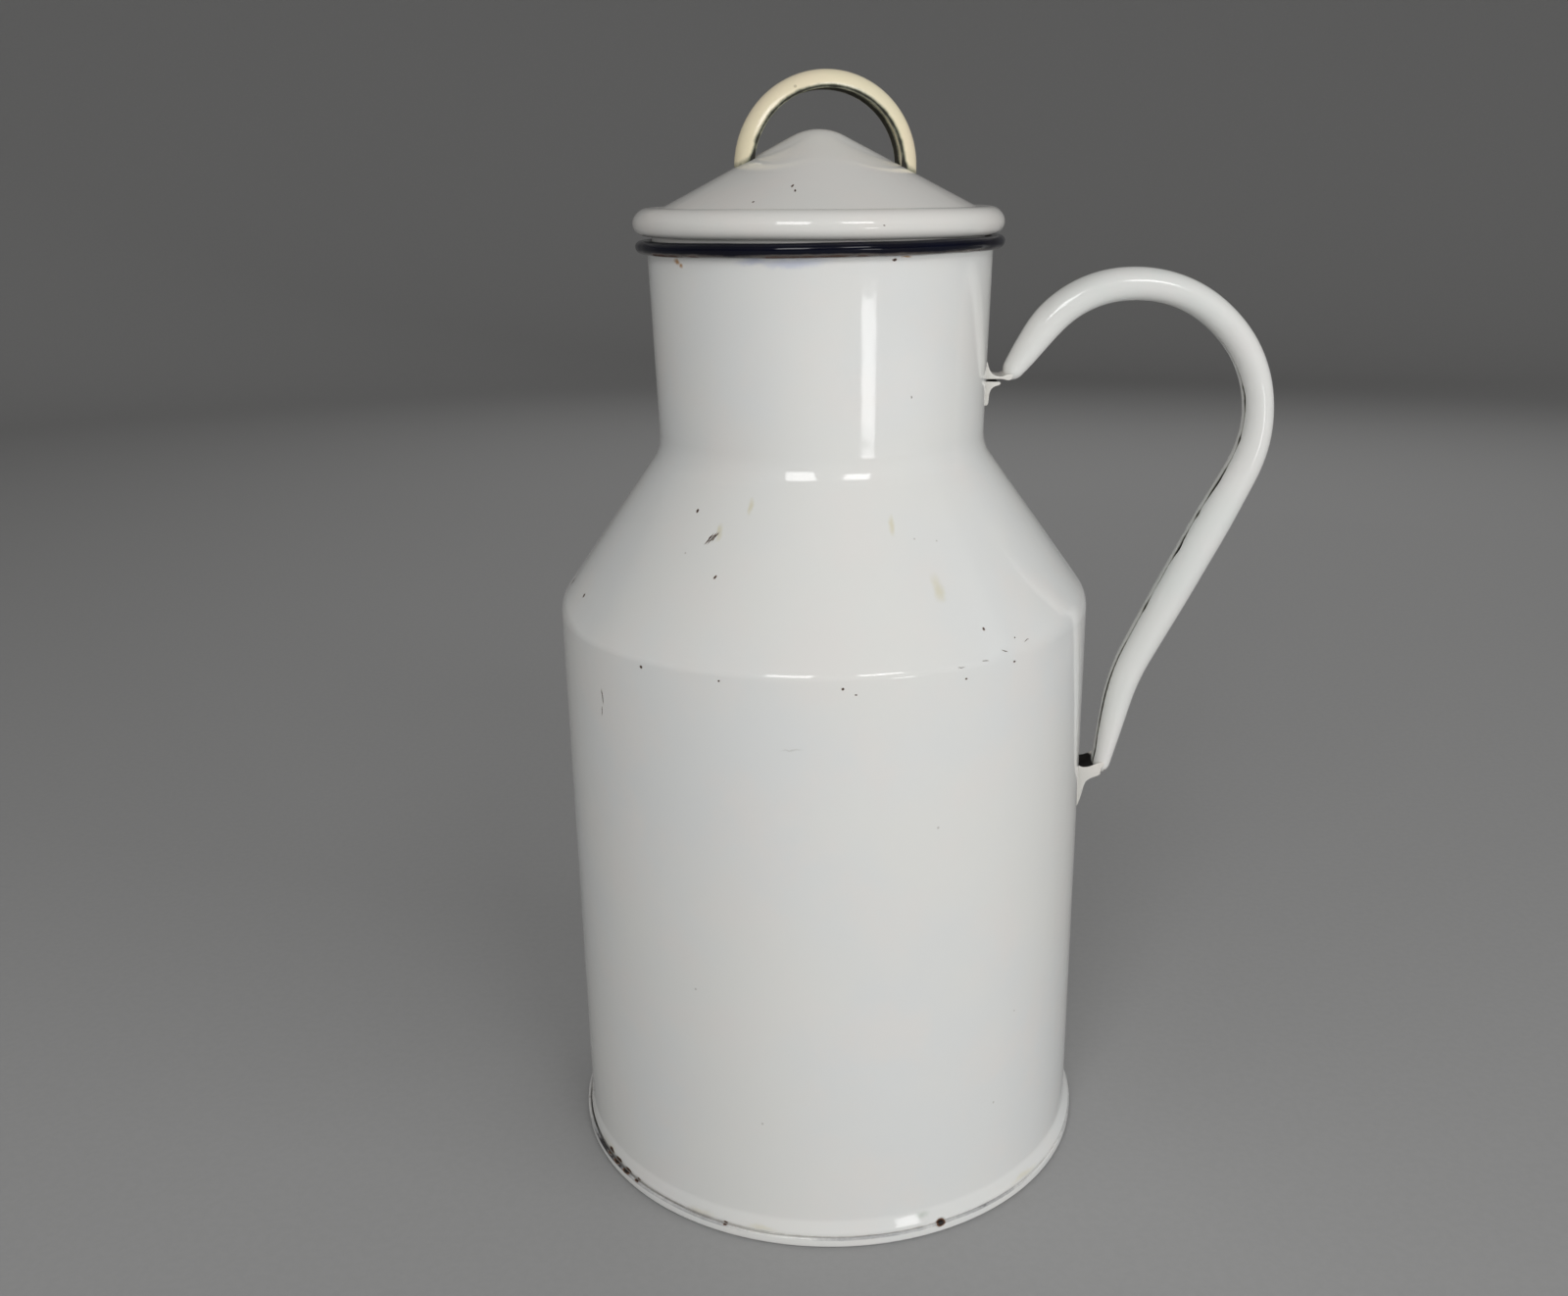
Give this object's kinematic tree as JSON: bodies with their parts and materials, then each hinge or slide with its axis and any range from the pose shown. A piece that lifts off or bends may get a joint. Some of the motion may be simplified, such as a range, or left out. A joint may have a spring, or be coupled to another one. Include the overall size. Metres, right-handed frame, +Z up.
{
  "type": "milk pail",
  "caption": "Enamelled steel milk pail with a sloping shoulder, a narrow neck with a dark rolled rim, a curved tube handle on its side and a lift-off conical lid with a strap loop.",
  "frame": {"origin": "centre of the ring that the pail stands on, on the pail's axis", "axes": "+Z up along the pail's axis, +X towards the side handle, +Y completes the right-handed frame"},
  "size_m": [0.2706, 0.206, 0.4092],
  "materials": {
    "white_enamel": "glossy vitreous enamel, slightly aged, with small chips",
    "blue_enamel": "glossy dark blue enamel, worn to brown on the rolled rim",
    "ivory_enamel": "glossy ivory enamel, yellowed with age",
    "steel_wire": "plain steel wire, rolled into the rim"
  },
  "bodies": {
    "pail": {"body_wall": "white_enamel", "shoulder_neck": "white_enamel", "rim_curl": "blue_enamel", "rim_wire": "steel_wire", "base_plate": "white_enamel", "grip_tube": "white_enamel", "upper_bracket": "white_enamel", "lower_bracket": "white_enamel"},
    "lid": {"lid_cover": "white_enamel", "lid_collar": "white_enamel", "lid_loop": "ivory_enamel"}
  },
  "joints": [
    {"name": "lid_lift", "type": "slide", "parent": "pail", "child": "lid", "axis": [0, 0, 1], "range_m": [0, 0.12]}
  ]
}
